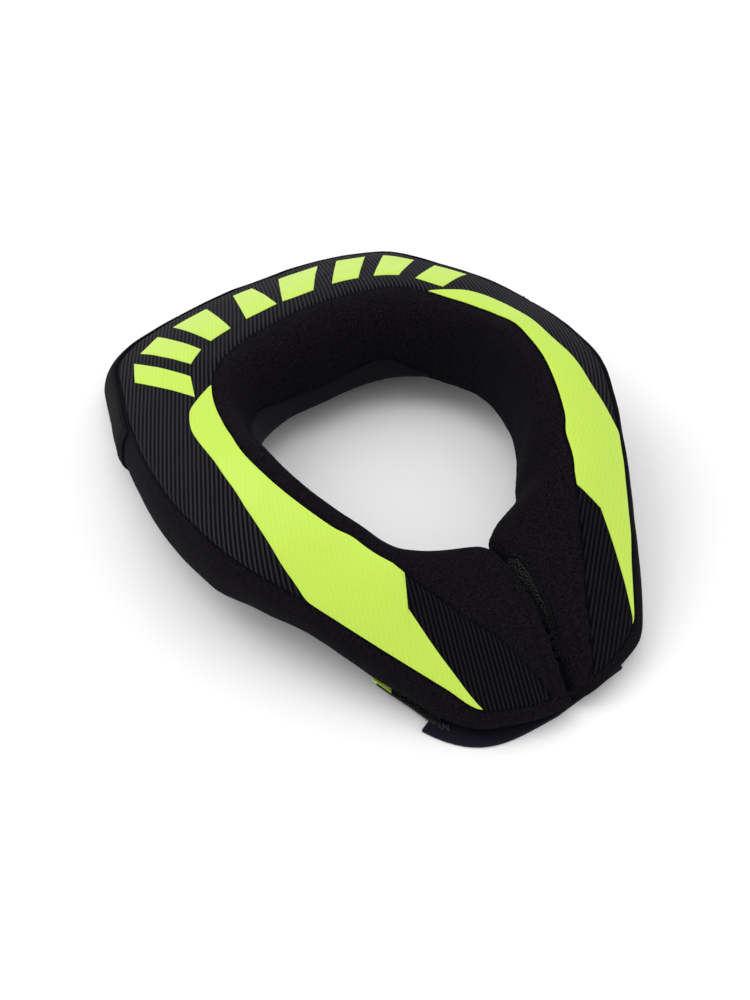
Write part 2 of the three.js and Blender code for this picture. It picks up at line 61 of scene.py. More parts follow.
# Lengths of the collar in millimetres, and places on its run from 0 in the rear to 180 at the slit
HOLE_HALF_WIDTH = 62
HOLE_REAR = 62
HOLE_FRONT = 71.5
HALF_WIDTH = 110
REAR_REACH = 155.5
FRONT_REACH = 143
MIDDLE_Y = 7.75
ROLL_HEIGHT = 76.5
ROLL_DEPTH = 24
YOKE_DOME = 2.2
EDGE_BULGE = 3.6
EDGE_TUCK = 8.5
FOOT_SLOPE = 0.95
SLIT_BOW = 5.5
BOW_START = 150
BOW_END = 178
CREST_SOFTNESS = 0.15
SLIT_PLACE = 180
LOBE_START = 140
LIFT_END = 155
STRAP_RISE = 2.5
CLOSE_START = 168
CLOSE_POWER = 3
CLOSE_LEFT = (4.0, 3.4)
CLOSE_RIGHT = (0.8, 2.4)
LEFT_DIP = 1.8
LEFT_RISE = 3.2
LEFT_DIP_PLACES = (146, 158, 164, 174)
LEFT_RISE_PLACES = (168, 179)

# The outer edge's two bends. Columns: share of the bulge, of the tuck and of the height
OUTER_BENDS = [(1, 0.2, 0.65), (0.8, 0.6, 0.25)]

# Columns: at, hole x, hole y, outer edge x, outer edge y, wall, lean, crest, edge, low, tuck, belly
SHAPE = [
    (0, 0, 1, 0, 1, 0.222, 0.893, 0.756, 0.289, 0, 0.2, 0.9),
    (15, 0.26, 1, 0.355, 0.978, 0.222, 0.839, 0.756, 0.289, 0, 0.2, 0.9),
    (28, 0.5, 0.945, 0.587, 0.937, 0.233, 0.804, 0.767, 0.294, 0, -0.2, 0.9),
    (40, 0.692, 0.842, 0.741, 0.844, 0.256, 0.75, 0.783, 0.356, 0.022, -1.1, 0.85),
    (52, 0.849, 0.658, 0.834, 0.661, 0.289, 0.571, 0.8, 0.483, 0.067, -1, 0.8),
    (64, 0.945, 0.459, 0.919, 0.481, 0.311, 0.411, 0.856, 0.567, 0.122, -0.5, 0.7),
    (76, 0.993, 0.274, 0.973, 0.301, 0.333, 0.286, 0.911, 0.628, 0.156, -0.15, 0.6),
    (90, 0.986, 0.068, 1, 0.093, 0.356, 0.268, 0.972, 0.7, 0.189, 0.1, 0.6),
    (103, 0.945, -0.155, 0.981, -0.101, 0.344, 0.304, 0.967, 0.739, 0.2, 0.2, 0.6),
    (116, 0.836, -0.369, 0.896, -0.28, 0.344, 0.446, 0.933, 0.694, 0.211, 0.8, 0.5),
    (128, 0.712, -0.524, 0.811, -0.405, 0.344, 0.607, 0.889, 0.65, 0.222, 0.8, 0.4),
    (139, 0.616, -0.631, 0.749, -0.494, 0.344, 0.714, 0.85, 0.6, 0.2, 0.7, 0.3),
    (150, 0.548, -0.714, 0.579, -0.714, 0.356, 0.893, 0.811, 0.439, 0.056, 0.2, 0.2),
    (158, 0.425, -0.774, 0.475, -0.833, 0.4, 0.857, 0.756, 0.328, 0.008, -0.4, 0.1),
    (164, 0.301, -0.833, 0.386, -0.929, 0.444, 0.714, 0.678, 0.228, 0, 0.2, 0.1),
    (170, 0.205, -0.881, 0.259, -0.973, 0.467, 0.607, 0.617, 0.211, 0, 0.4, 0.1),
    (175, 0.135, -0.929, 0.147, -0.997, 0.467, 0.464, 0.572, 0.194, 0, 0.5, 0.2),
    (178, 0.092, -0.964, 0.077, -1, 0.456, 0.393, 0.544, 0.161, 0, 0.5, 0.3),
    (180, 0.068, -1, 0.042, -0.994, 0.444, 0.321, 0.5, 0.111, 0, 0.5, 0.3),
]

# Columns: at, share across the top from the crest to the outer edge
PANEL_SEAM = [
    (0, 0.095), (15, 0.09), (28, 0.082), (40, 0.09), (52, 0.13), (64, 0.135), (76, 0.152), (90, 0.197),
    (103, 0.19), (116, 0.18), (128, 0.17), (139, 0.125), (148, 0.135), (152, 0.2), (158, 0.315),
    (164, 0.44), (168, 0.535), (172, 0.69), (174.5, 0.83), (176.3, 0.985),
]
FLASH_EDGE = [
    (44, 0.04), (50, 0.16), (56, 0.28), (63, 0.4), (72, 0.455), (84, 0.455), (96, 0.49), (106, 0.565),
    (115, 0.69), (124, 0.85), (134, 0.98), (164.5, 0.985),
]
FLASH_FRONT = [(151, 0.46), (152, 0.51), (153.2, 0.565), (158, 0.775), (161, 0.875), (164.4, 0.982)]
LINING_BAND = [(0, 0.17), (20, 0.2), (36, 0.3), (48, 0.34)]
PANEL_END = 176.3
RIM_INSET = 0.055
RIM_PLACES = (35, 60, 150, 172)
FILM_INSET = 0.016
FLASH_START = 48.8
FLASH_CORNER = 152
FLASH_END = 164.4
LINING_END = 48
LINING_FADE = 0.85
LINING_FADE_START = 22
WRAP_ENDS = (-64, 78)
WRAP_SHARES = (1 / 12, 10 / 12)

# Prints round the rear: how many bars, between which places, their half turn and slant in places
BAR_COUNT = 8
BAR_PLACES = (-47, 53)
BAR_HALF_TURN = 4.4
BAR_SLANT = 7
BAR_SHARES = (0.3, 0.84)

# Ribs: where they start, and for each side the point they turn round, their angle in the rear, their
# angle in front and the places between which they turn. Metres and degrees.
RIB_START = Vector((0, 0.110))
LEFT_RIBS = (Vector((-0.080, -0.040)), 28, 15, (90, 150))
RIGHT_RIBS = (Vector((0.085, -0.020)), 20, 44, (80, 150))
RIB_CROSSING = (-20, 30)

# How a sheet lies on the padding, in millimetres: its face's height, its underside's, how far in from
# its edge and how much the face rolls down, and the number of cuts across its width
Lay = namedtuple("Lay", "lift depth roll drop cuts")
PANEL_LAY = Lay(0.25, -1.2, 2.2, 0.9, 40)
FLASH_LAY = Lay(0.62, 0.1, 0.5, 0.25, 24)
BAR_LAY = FLASH_LAY._replace(cuts=16)
LINING_LAY = Lay(0.2, -0.8, 1.2, 0.6, 10)
WRAP_LAY = Lay(1.9, 0.15, 1.6, 0.9, 16)

# Steps of the sheets along the run, in places, and of a bar across it
PANEL_STEPS = (1, 2)
FLASH_STEPS = (1.5, 1)
CORNER_GAP = 0.2
BAR_STEP = 0.2
LINING_STEP = 1.5
WRAP_STEP = 1

# Widest angles between two faces that are shaded as one, in degrees
PADDING_ANGLE = 80
SHEET_ANGLE = 50
CUT_ANGLE = 40

made = {}


def mix(a, b, share):
    return a + (b - a) * share


def smoothstep(value, low, high):
    share = min(1.0, max(0.0, (value - low) / (high - low)))
    return share * share * (3 - 2 * share)


def swell(value, start, full, wane, end):
    """Rises from 0 to 1 between start and full and falls again between wane and end."""
    return smoothstep(value, start, full) * (1 - smoothstep(value, wane, end))


def hermite(u, a, b, slope_a, slope_b):
    """A smooth run from a to b with a slope at each end."""
    return (
        (1 + 2 * u) * (1 - u) ** 2 * a
        + u * u * (3 - 2 * u) * b
        + u * (1 - u) ** 2 * slope_a
        + u * u * (u - 1) * slope_b
    )


def smooth_column(rows, column):
    """A run through one column of a table, without overshoot between two rows."""
    at = [row[0] for row in rows]
    value = [row[column] for row in rows]
    rise = [(value[i + 1] - value[i]) / (at[i + 1] - at[i]) for i in range(len(at) - 1)]
    slope = [0.0] * len(at)
    for i in range(1, len(at) - 1):
        if rise[i - 1] * rise[i] > 0:
            slope[i] = 2 * rise[i - 1] * rise[i] / (rise[i - 1] + rise[i])
    slope[-1] = rise[-1]

    def run(place):
        i = 0
        while i < len(at) - 2 and place > at[i + 1]:
            i += 1
        span = at[i + 1] - at[i]
        u = (place - at[i]) / span
        return hermite(u, value[i], value[i + 1], span * slope[i], span * slope[i + 1])

    return run


shape_runs = [smooth_column(SHAPE, k) for k in range(1, len(SHAPE[0]))]
panel_seam = smooth_column(PANEL_SEAM, 1)
flash_edge = smooth_column(FLASH_EDGE, 1)
flash_front = smooth_column(FLASH_FRONT, 1)
lining_top = smooth_column(LINING_BAND, 1)
sections = {}


class Section:
    """The real lengths of the collar at one place of its run, negative on the left half."""

    def __init__(self, at):
        place = abs(at)
        side = -1 if at < 0 else 1
        hole_x, hole_y, out_x, out_y, *fullness = (run(place) for run in shape_runs)
        wall, lean, crest, edge, low, tuck, belly = fullness
        hole_reach = HOLE_REAR if hole_y > 0 else HOLE_FRONT
        out_reach = REAR_REACH if out_y > 0 else FRONT_REACH
        self.hole = Vector((side * hole_x * HOLE_HALF_WIDTH, hole_y * hole_reach - MIDDLE_Y))
        out = Vector((side * out_x * HALF_WIDTH, out_y * out_reach - MIDDLE_Y))
        self.depth = (out - self.hole).length
        self.outward = (out - self.hole) / self.depth
        self.wall = wall * ROLL_HEIGHT
        self.crest_in = lean * ROLL_DEPTH
        self.crest = crest * ROLL_HEIGHT
        if side < 0:
            self.crest -= LEFT_DIP * swell(place, *LEFT_DIP_PLACES)
            self.crest += LEFT_RISE * smoothstep(place, *LEFT_RISE_PLACES)
        self.edge = edge * ROLL_HEIGHT
        self.low = low * ROLL_HEIGHT + STRAP_RISE * smoothstep(place, LOBE_START, LIFT_END)
        self.tuck = tuck * EDGE_TUCK
        self.belly = belly
        self.bow = SLIT_BOW * smoothstep(place, BOW_START, BOW_END)
        near = max(0, (place - CLOSE_START) / (SLIT_PLACE - CLOSE_START)) ** CLOSE_POWER
        self.close = [-side * value * near for value in (CLOSE_LEFT if side < 0 else CLOSE_RIGHT)]

    def point(self, across, height):
        share = min(1.0, max(0.0, across / self.depth))
        x = self.hole.x + self.outward.x * across + self.bow * math.sin(math.pi * share)
        x += mix(*self.close, share)
        y = self.hole.y + self.outward.y * across
        return Vector((x, y, height)) * MM


def section(at):
    if at not in sections:
        sections[at] = Section(at)
    return sections[at]


def top_profile(cut, share):
    fall = share * share * (1 + CREST_SOFTNESS) / (share + CREST_SOFTNESS)
    dome = YOKE_DOME * math.sin(math.pi * share)
    return mix(cut.crest_in, cut.depth, share), mix(cut.crest, cut.edge, fall) + dome


def wall_profile(cut, share):
    turn = share * math.pi / 2
    back = mix(share, 1 - math.cos(turn), cut.belly)
    return cut.crest_in * back, cut.wall + (cut.crest - cut.wall) * math.sin(turn)


def outer_profile(cut, share):
    """A Catmull-Rom run over the outer edge, the fullest line, the lower bend and the underside."""
    height = cut.edge - cut.low
    stops = [(cut.depth, cut.edge)]
    for bulge, tuck, rise in OUTER_BENDS:
        stops.append((cut.depth + bulge * EDGE_BULGE - tuck * cut.tuck, cut.low + rise * height))
    stops.append((cut.depth - cut.tuck - EDGE_BULGE, cut.low))
    along = share * (len(stops) - 1)
    i = min(int(along), len(stops) - 2)
    u = along - i
    picks = [stops[max(0, i - 1)], stops[i], stops[i + 1], stops[min(len(stops) - 1, i + 2)]]
    result = []
    for axis in range(2):
        a, b, c, d = (pick[axis] for pick in picks)
        result.append(hermite(u, b, c, (c - a) / 2, (d - b) / 2))
    return result[0], max(result[1], cut.low)


def on_skin(profile, at, share):
    cut = section(at)
    return cut.point(*profile(cut, share))


def panel_rim(at):
    """Share across the top where the panel ends: on the right side the jersey turns over the edge."""
    return 1 - RIM_INSET * swell(at, *RIM_PLACES)


def lining_height(at):
    """The lining's top on the wall. Towards its right end it runs down to the foot."""
    return lining_top(abs(at)) * (1 - LINING_FADE * smoothstep(at, LINING_FADE_START, LINING_END))


def steps(low, high, step):
    """Evenly spaced places from low to high, no further apart than step."""
    count = max(1, math.ceil((high - low) / step))
    return [mix(low, high, i / count) for i in range(count + 1)]


def run_places(end, lobe_step, side_step):
    """Places along the whole run, closer together on the lobes."""
    places = steps(-end, -LOBE_START, lobe_step)[:-1] + steps(-LOBE_START, LOBE_START, side_step)
    return places + steps(LOBE_START, end, lobe_step)[1:]


def select_only(obj):
    bpy.ops.object.select_all(action="DESELECT")
    obj.select_set(True)
    bpy.context.view_layer.objects.active = obj


def edit_all(operator, **settings):
    """Runs an edit mode operator on the whole active mesh."""
    bpy.ops.object.mode_set(mode="EDIT")
    bpy.ops.mesh.select_all(action="SELECT")
    operator(**settings)
    bpy.ops.object.mode_set(mode="OBJECT")


def add_object(name, data):
    obj = bpy.data.objects.new(name, data)
    bpy.context.scene.collection.objects.link(obj)
    return obj


def mesh_object(name, points, faces):
    mesh = bpy.data.meshes.new(name)
    mesh.from_pydata([tuple(p) for p in points], [], faces)
    mesh.validate()
    obj = add_object(name, mesh)
    select_only(obj)
    edit_all(bpy.ops.mesh.normals_make_consistent, inside=False)
    return obj


def smooth_shading(obj, angle):
    select_only(obj)
    bpy.ops.object.shade_smooth_by_angle(angle=math.radians(angle))


def apply_modifier(obj, kind, **settings):
    modifier = obj.modifiers.new(kind.title(), kind)
    for key, value in settings.items():
        setattr(modifier, key, value)
    select_only(obj)
    bpy.ops.object.modifier_apply(modifier=modifier.name)


def set_attribute(obj, name, values):
    attribute = obj.data.attributes.new(name, "FLOAT", "POINT")
    attribute.data.foreach_set("value", values)


def rib_direction(angle):
    turn = math.radians(angle)
    return Vector((math.cos(turn), -math.sin(turn)))


def side_phase(flat, place, ribs):
    """How far a point lies across one side's ribs, which turn round a point along the run."""
    pivot, rear_angle, front_angle, turn_places = ribs
    rear, front = rib_direction(rear_angle), rib_direction(front_angle)
    straight = rear.dot(flat - RIB_START)
    turned = rear.dot(pivot - RIB_START) + front.dot(flat - pivot)
    return mix(straight, turned, smoothstep(place, *turn_places))


def rib_phase(point, at):
    """How far a point lies across the ribs, in metres. The two sides' ribs merge in the rear."""
    flat = Vector((point.x, point.y))
    left = side_phase(flat, -at, LEFT_RIBS)
    right = side_phase(flat, at, RIGHT_RIBS)
    return mix(left, right, smoothstep(at, *RIB_CROSSING))


def grid_size(points, count):
    """Length along the middle and area of a grid of points in rows of count."""
    rows = [points[i : i + count] for i in range(0, len(points), count)]
    area = 0.0
    length = 0.0
    for near, far in zip(rows, rows[1:]):
        length += (far[count // 2] - near[count // 2]).length
        for a, b, c, d in zip(near, near[1:], far[1:], far):
            area += ((b - a).cross(d - a).length + (b - c).cross(d - c).length) / 2
    return length, area


def closed_sheet(name, upper, lower, count):
    """A thin closed piece between two grids of points in rows of count."""
    offset = len(upper)
    rows = [list(range(i, i + count)) for i in range(0, offset, count)]
    faces = []
    for near, far in zip(rows, rows[1:]):
        for a, b, c, d in zip(near, near[1:], far[1:], far):
            faces.append((a, b, c, d))
            faces.append((offset + a, offset + d, offset + c, offset + b))
    rim = rows[0] + [row[-1] for row in rows[1:]] + rows[-1][-2::-1] + [row[0] for row in rows[-2:0:-1]]
    for a, b in zip(rim, rim[1:] + rim[:1]):
        faces.append((b, a, offset + a, offset + b))
    obj = mesh_object(name, upper + lower, faces)
    smooth_shading(obj, SHEET_ANGLE)
    return obj


def nearest(target):
    """The padding's nearest point and its normal there."""
    return made["surface"].find_nearest(target)[:2]


def laid_sheet(name, stops, spot, lay):
    """A sheet that lies on the padding, with its length and area. spot gives a point and its place
    on the run for a stop and a share of the width."""
    grid = []
    for stop in stops:
        targets = [spot(stop, i / lay.cuts) for i in range(lay.cuts + 1)]
        grid.append([(*nearest(target), at) for target, at in targets])
    upper, lower, ribs, edges = [], [], [], []
    for r, row in enumerate(grid):
        end = grid[0] if r < len(grid) / 2 else grid[-1]
        along = [0.0]
        for near, far in zip(row, row[1:]):
            along.append(along[-1] + (far[0] - near[0]).length)
        for i, (place, normal, at) in enumerate(row):
            edge = min(along[i], along[-1] - along[i], (place - end[i][0]).length) / MM
            height = lay.lift - lay.drop * (1 - smoothstep(edge, 0, lay.roll))
            upper.append(place + normal * height * MM)
            lower.append(place + normal * lay.depth * MM)
            ribs.append(rib_phase(place, at))
            edges.append(edge)
    obj = closed_sheet(name, upper, lower, lay.cuts + 1)
    set_attribute(obj, "rib", ribs + ribs)
    set_attribute(obj, "edge", edges + edges)
    return obj, *grid_size(upper, lay.cuts + 1)


def lay_cloth(name, slot, node, stops, spot, lay):
    """A cloth sheet on the padding, with its finish and its place in the model."""
    obj, length, area = laid_sheet(name, stops, spot, lay)
    put_on(obj, slot, node)


def put_on(obj, slot, *nodes, finish=None):
    """Gives a piece its finish, by default the one named like its slot, and its place in the model."""
    obj.data.materials.clear()
    obj.data.materials.append(finish_named(finish or slot))
    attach(obj, BODY)
    if nodes:
        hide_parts(*nodes)


# Finishes: sheen, unevenness of the ribs, and where along Y and to which tint painted shade darkens the
# ribbed panel towards the front
SHEEN_ROUGHNESS = 0.45
RIB_WOBBLE = 0.7
PAINTED_FRONT_SHADE_Y = (-0.03, -0.09)
PAINTED_FRONT_SHADE_TINT = (0.40, 0.38, 0.42)


class NodeBook:
    """A material with its shader and colour, and short ways to add and join nodes."""

    def __init__(self, name, colour, roughness, gloss=0.15, sheen=0.0, sheen_tint=(1, 1, 1)):
        self.base = tuple(colour)
        self.material = bpy.data.materials.new(name)
        self.material.use_nodes = True
        self.tree = self.material.node_tree
        self.shader = self.tree.nodes["Principled BSDF"]
        looks = {"Roughness": roughness, "Specular IOR Level": gloss}
        sheen_looks = {"Sheen Weight": sheen, "Sheen Roughness": SHEEN_ROUGHNESS, "Sheen Tint": sheen_tint}
        self.fill(self.shader, looks | sheen_looks)
        self.place = self.add("ShaderNodeTexCoord").outputs["Object"]

    def fill(self, node, inputs):
        """Sets a node's inputs, named or numbered: a socket is joined, a tuple is a colour."""
        for key, value in inputs.items():
            if isinstance(value, bpy.types.NodeSocket):
                self.tree.links.new(value, node.inputs[key])
            else:
                node.inputs[key].default_value = (*value, 1) if isinstance(value, tuple) else value

    def add(self, kind, inputs=None, **settings):
        node = self.tree.nodes.new(kind)
        for key, value in settings.items():
            setattr(node, key, value)
        self.fill(node, inputs or {})
        return node

    def math(self, operation, *values):
        return self.add("ShaderNodeMath", dict(enumerate(values)), operation=operation).outputs[0]

    def lifted(self, wave):
        """Brings a wave between -1 and 1 to between 0 and 1."""
        return self.math("ADD", self.math("MULTIPLY", wave, 0.5), 0.5)

    def noise(self, scale, detail):
        inputs = {"Vector": self.place, "Scale": scale, "Detail": detail}
        return self.add("ShaderNodeTexNoise", inputs).outputs["Fac"]

    def voronoi(self, scale):
        return self.add("ShaderNodeTexVoronoi", {"Vector": self.place, "Scale": scale}).outputs["Distance"]

    def attribute(self, name):
        return self.add("ShaderNodeAttribute", attribute_name=name).outputs["Fac"]

    def axes(self):
        return self.add("ShaderNodeSeparateXYZ", {"Vector": self.place}).outputs

    def fade(self, value, start, end):
        """Rises smoothly from 0 where the value is start to 1 where it is end."""
        inputs = {"Value": value, "From Min": start, "From Max": end}
        return self.add("ShaderNodeMapRange", inputs, interpolation_type="SMOOTHSTEP").outputs["Result"]

    def tint(self, factor):
        return tuple(channel * factor for channel in self.base)

    def ramp(self, value, *stops):
        """A colour ramp. Each stop is a value and the factor of the book's colour there."""
        node = self.add("ShaderNodeValToRGB", {"Fac": value})
        elements = node.color_ramp.elements
        for i, (place, factor) in enumerate(stops):
            element = elements[i] if i < 2 else elements.new(place)
            element.position = place
            element.color = (*self.tint(factor), 1)
        return node.outputs["Color"]

    def blend(self, share, first, second, kind="MIX"):
        """A colour mix. Its inputs share their names with other types', so they go by number."""
        inputs = {0: share, 6: first, 7: second}
        return self.add("ShaderNodeMix", inputs, data_type="RGBA", blend_type=kind).outputs[2]

    def show_through(self, pattern, strength, tone, factor):
        """Lets the colour times a factor show through a tone where a pattern is strong."""
        return self.blend(self.math("MULTIPLY", pattern, strength), tone, self.tint(factor))

    def painted_seam_shade(self, tone, factor, reach, strength):
        """Paints shade into a tone towards the nearest seam, within a reach in millimetres."""
        away = self.math("MINIMUM", 1, self.math("DIVIDE", self.attribute("edge"), reach))
        return self.show_through(self.math("SUBTRACT", 1, away), strength, tone, factor)

    def colour(self, value):
        self.fill(self.shader, {"Base Color": value})

    def bump(self, height, strength, distance, below=None):
        inputs = {"Height": height, "Strength": strength, "Distance": distance}
        if below is not None:
            inputs["Normal"] = below
        normal = self.add("ShaderNodeBump", inputs).outputs["Normal"]
        self.fill(self.shader, {"Normal": normal})
        return normal


def jersey_finish(colour):
    """Brushed jersey: matt, fuzzy, with painted shade in the seams."""
    book = NodeBook("brushed_jersey", colour, 0.95, gloss=0.03, sheen=0.008, sheen_tint=(0.80, 0.72, 1.0))
    fuzz = book.noise(scale=1150, detail=5)
    patch = book.noise(scale=70, detail=3)
    shade = book.ramp(fuzz, (0.34, 0.25), (0.68, 2.1))
    tone = book.show_through(patch, 0.5, shade, 0.75)
    # Painted shade along the seams.
    book.colour(book.painted_seam_shade(tone, 0.2, reach=1.6, strength=0.75))
    nap = book.bump(book.noise(scale=260, detail=3), strength=0.25, distance=0.0008)
    book.bump(fuzz, strength=0.55, distance=0.0004, below=nap)
    return book.material


def rib_wave(book):
    """A wave between 0 and 1 across the ribs, a little uneven."""
    pitch = bpy.context.scene.brace_finishes.rib_pitch
    turn = book.math("MULTIPLY", book.attribute("rib"), 2 * math.pi / pitch)
    drift = book.math("SUBTRACT", book.noise(scale=120, detail=2), 0.5)
    wobble = book.math("MULTIPLY", drift, RIB_WOBBLE)
    return book.lifted(book.math("SINE", book.math("ADD", turn, wobble)))


def ribbed_finish(colour):
    """Ribbed fabric: rounded ribs with painted shade in the grooves and painted light on the crowns, and
    painted shade towards the front.
    """
    book = NodeBook("ribbed_fabric", colour, 0.72, gloss=0.035, sheen=0.006, sheen_tint=(0.85, 0.88, 1.0))
    wave = rib_wave(book)
    thread = book.noise(scale=2600, detail=2)
    # Painted shade in the rib grooves and painted light on the crowns.
    rib = book.ramp(wave, (0.15, 0.06), (0.45, 0.6), (0.85, 2.15))
    worn = book.show_through(thread, 0.45, rib, 0.35)
    # Painted shade: the panel darkens towards the front, away from the light.
    front = book.fade(book.axes()["Y"], *PAINTED_FRONT_SHADE_Y)
    tone = book.blend(front, worn, PAINTED_FRONT_SHADE_TINT, "MULTIPLY")
    # Painted shade along the seams.
    book.colour(book.painted_seam_shade(tone, 0.1, reach=0.9, strength=0.8))
    ribs = book.bump(wave, strength=0.9, distance=0.0006)
    book.bump(thread, strength=0.4, distance=0.0002, below=ribs)
    return book.material


def film_finish(colour):
    """Printed film on the ribs: satin, the ribs faint through it, with faint painted shade in their
    grooves.
    """
    book = NodeBook("bright_film", colour, 0.42, gloss=0.3)
    wave = rib_wave(book)
    # Faint painted shade in the rib grooves under the print.
    tone = book.ramp(wave, (0.1, 0.968), (0.6, 1))
    book.colour(book.show_through(book.noise(scale=45, detail=2), 0.10, tone, 0.8))
    ribs = book.bump(wave, strength=0.12, distance=0.00035)
    book.bump(book.noise(scale=1800, detail=3), strength=0.15, distance=0.0001, below=ribs)
    return book.material


def woven_finish(colour, name, roughness, thread, sheen=0.004):
    """Plain weave of two crossing threads, with the thread's pitch in metres."""
    book = NodeBook(name, colour, roughness, gloss=0.06, sheen=sheen, sheen_tint=(0.85, 0.85, 1.0))
    axes = book.axes()
    turn = 2 * math.pi / thread
    warp = book.math("SINE", book.math("MULTIPLY", book.math("ADD", axes["X"], axes["Z"]), turn))
    weft = book.math("SINE", book.math("MULTIPLY", book.math("SUBTRACT", axes["Y"], axes["Z"]), turn))
    weave = book.lifted(book.math("MULTIPLY", warp, weft))
    fibre = book.noise(scale=1400, detail=4)
    tone = book.ramp(weave, (0.1, 0.55), (0.9, 1.35))
    book.colour(book.show_through(fibre, 0.5, tone, 0.6))
    threads = book.bump(weave, strength=0.35, distance=0.0003)
    book.bump(fibre, strength=0.35, distance=0.0002, below=threads)
    return book.material


def hook_finish(colour):
    """Hook tape: a rough field of stiff little hooks with painted glints."""
    book = NodeBook("hook_tape", colour, 0.5, gloss=0.3)
    cells = book.voronoi(scale=1100)
    # Painted glints at the cell centres, darker further from them.
    book.colour(book.ramp(cells, (0.0, 9.0), (0.28, 1), (0.8, 0.3)))
    book.bump(cells, strength=1.0, distance=0.0009)
    return book.material


def plain_finish(colour, name, roughness, sheen=0.0):
    """Fine knit with small tone changes."""
    book = NodeBook(name, colour, roughness, gloss=0.06, sheen=sheen, sheen_tint=(0.85, 0.8, 1.0))
    fibre = book.noise(scale=1100, detail=4)
    patch = book.noise(scale=60, detail=2)
    tone = book.ramp(fibre, (0.3, 0.7), (0.7, 1.25))
    book.colour(book.show_through(patch, 0.3, tone, 0.7))
    book.bump(fibre, strength=0.3, distance=0.0002)
    return book.material


def colour_property(name, description, default):
    return bpy.props.FloatVectorProperty(
        name=name, description=description, default=default, subtype="COLOR", size=3, min=0, max=1
    )


class BraceFinishes(bpy.types.PropertyGroup):
    """Colours of the fabrics and the pitch of the ribs."""

    jersey: colour_property("Jersey", "Brushed jersey over the foam", (0.0056, 0.0047, 0.0068))
    ribbed: colour_property("Ribbed panel", "Ribbed fabric on the top", (0.0135, 0.0137, 0.0172))
    film: colour_property("Prints", "Bright film of the flashes and bars", (0.505, 0.725, 0.076))
    woven: colour_property("Wrap", "Woven wrap round the rear", (0.004, 0.0036, 0.0048))
    lining: colour_property("Lining", "Smooth band at the foot of the inner wall", (0.0062, 0.0053, 0.0082))
    strap: colour_property("Strap", "Closing strap", (0.0085, 0.009, 0.016))
    hook: colour_property("Hook tape", "Tongue and hook strip", (0.0022, 0.0022, 0.0026))
    bright: colour_property("Backing", "Bright backing under the lobes", (0.48, 0.72, 0.09))
    thread: colour_property("Thread", "Sewing thread of the wrap", (0.015, 0.015, 0.018))
    fray: colour_property("Frayed thread", "Loose threads at the hook strip's end", (0.09, 0.095, 0.12))
    rib_pitch: bpy.props.FloatProperty(
        name="Rib pitch", description="Distance from rib to rib", default=0.002, min=0.001, unit="LENGTH"
    )


class BracePadding(bpy.types.PropertyGroup):
    """How finely the padding is meshed and how soft its edges are."""

    voxel: bpy.props.FloatProperty(
        name="Mesh size", description="Voxel size of the padding", default=0.0016, min=0.0015, unit="LENGTH"
    )
    softness: bpy.props.IntProperty(
        name="Softness", description="Rounds of smoothing over the padding's edges", default=7, min=0
    )
    unevenness: bpy.props.FloatProperty(
        name="Unevenness", description="Height of the foam's waves", default=0.0006, min=0, unit="LENGTH"
    )


# Each finish, named like its colour: its maker and the rest of what the maker takes
FINISHES = {
    "jersey": (jersey_finish,),
    "ribbed": (ribbed_finish,),
    "film": (film_finish,),
    "woven": (woven_finish, "woven_wrap", 0.85, 0.0011),
    "lining": (plain_finish, "smooth_lining", 0.7, 0.03),
    "strap": (woven_finish, "strap_webbing", 0.6, 0.0009, 0.01),
    "hook": (hook_finish,),
    "bright": (plain_finish, "bright_backing", 0.75),
    "fray": (plain_finish, "frayed_thread", 0.8),
    "thread": (plain_finish, "sewing_thread", 0.6),
}


def finish_named(name):
    """Each finish is made once and shared."""
    if name not in made:
        maker, *details = FINISHES[name]
        made[name] = maker(getattr(bpy.context.scene.brace_finishes, name), *details)
    return made[name]


# Padding: how finely it is cut along the run and round it
LOBE_STEP = 1.5
SIDE_STEP = 3
WALL_CUTS = 12
TOP_CUTS = 24
OUTER_CUTS = 12

# Waves of the foam: how close they lie, their share of the unevenness, and from which height up in metres
WAVES = ((28, 1.0), (75, 0.5))
WAVE_FLOOR = 0.004

# Seats in the padding: their depths, their soft edge and the seam's groove, in millimetres
PANEL_SEAT = 1.5
LINING_SEAT = 1.0
SEAT_EDGE = 2
GROOVE_DEPTH = 0.5
GROOVE_WIDTH = 1.6
GROOVE_REACH = -8

# Rough lengths in millimetres of a place on the run and of the skins, for the distance to a seam
PANEL_PLACE = 1.6
LINING_PLACE = 1.2
WALL_LENGTH = 60
OUTER_LENGTH = 40
LINING_MARGIN = 4
FAR_FROM_SEAMS = -99.0


def seat_at(profile, at, share):
    """How far a place lies inside the seam of a seat, and how deep the seat is. Millimetres."""
    place = abs(at)
    cut = section(at)
    if profile is top_profile:
        end = (PANEL_END - place) * PANEL_PLACE
        if end <= 0:
            return end, PANEL_SEAT
        span = cut.depth - cut.crest_in
        return min((share - panel_seam(place)) * span, (panel_rim(at) - share) * span, end), PANEL_SEAT
    if profile is wall_profile and place < LINING_END + LINING_MARGIN:
        kept = max(-LINING_END, min(at, LINING_END))
        seam = (lining_height(kept) - share) * WALL_LENGTH
        return min(seam, (LINING_END - place) * LINING_PLACE), LINING_SEAT
    if profile is outer_profile:
        return -share * OUTER_LENGTH - (1 - panel_rim(at)) * cut.depth, PANEL_SEAT
    return FAR_FROM_SEAMS, 0.0


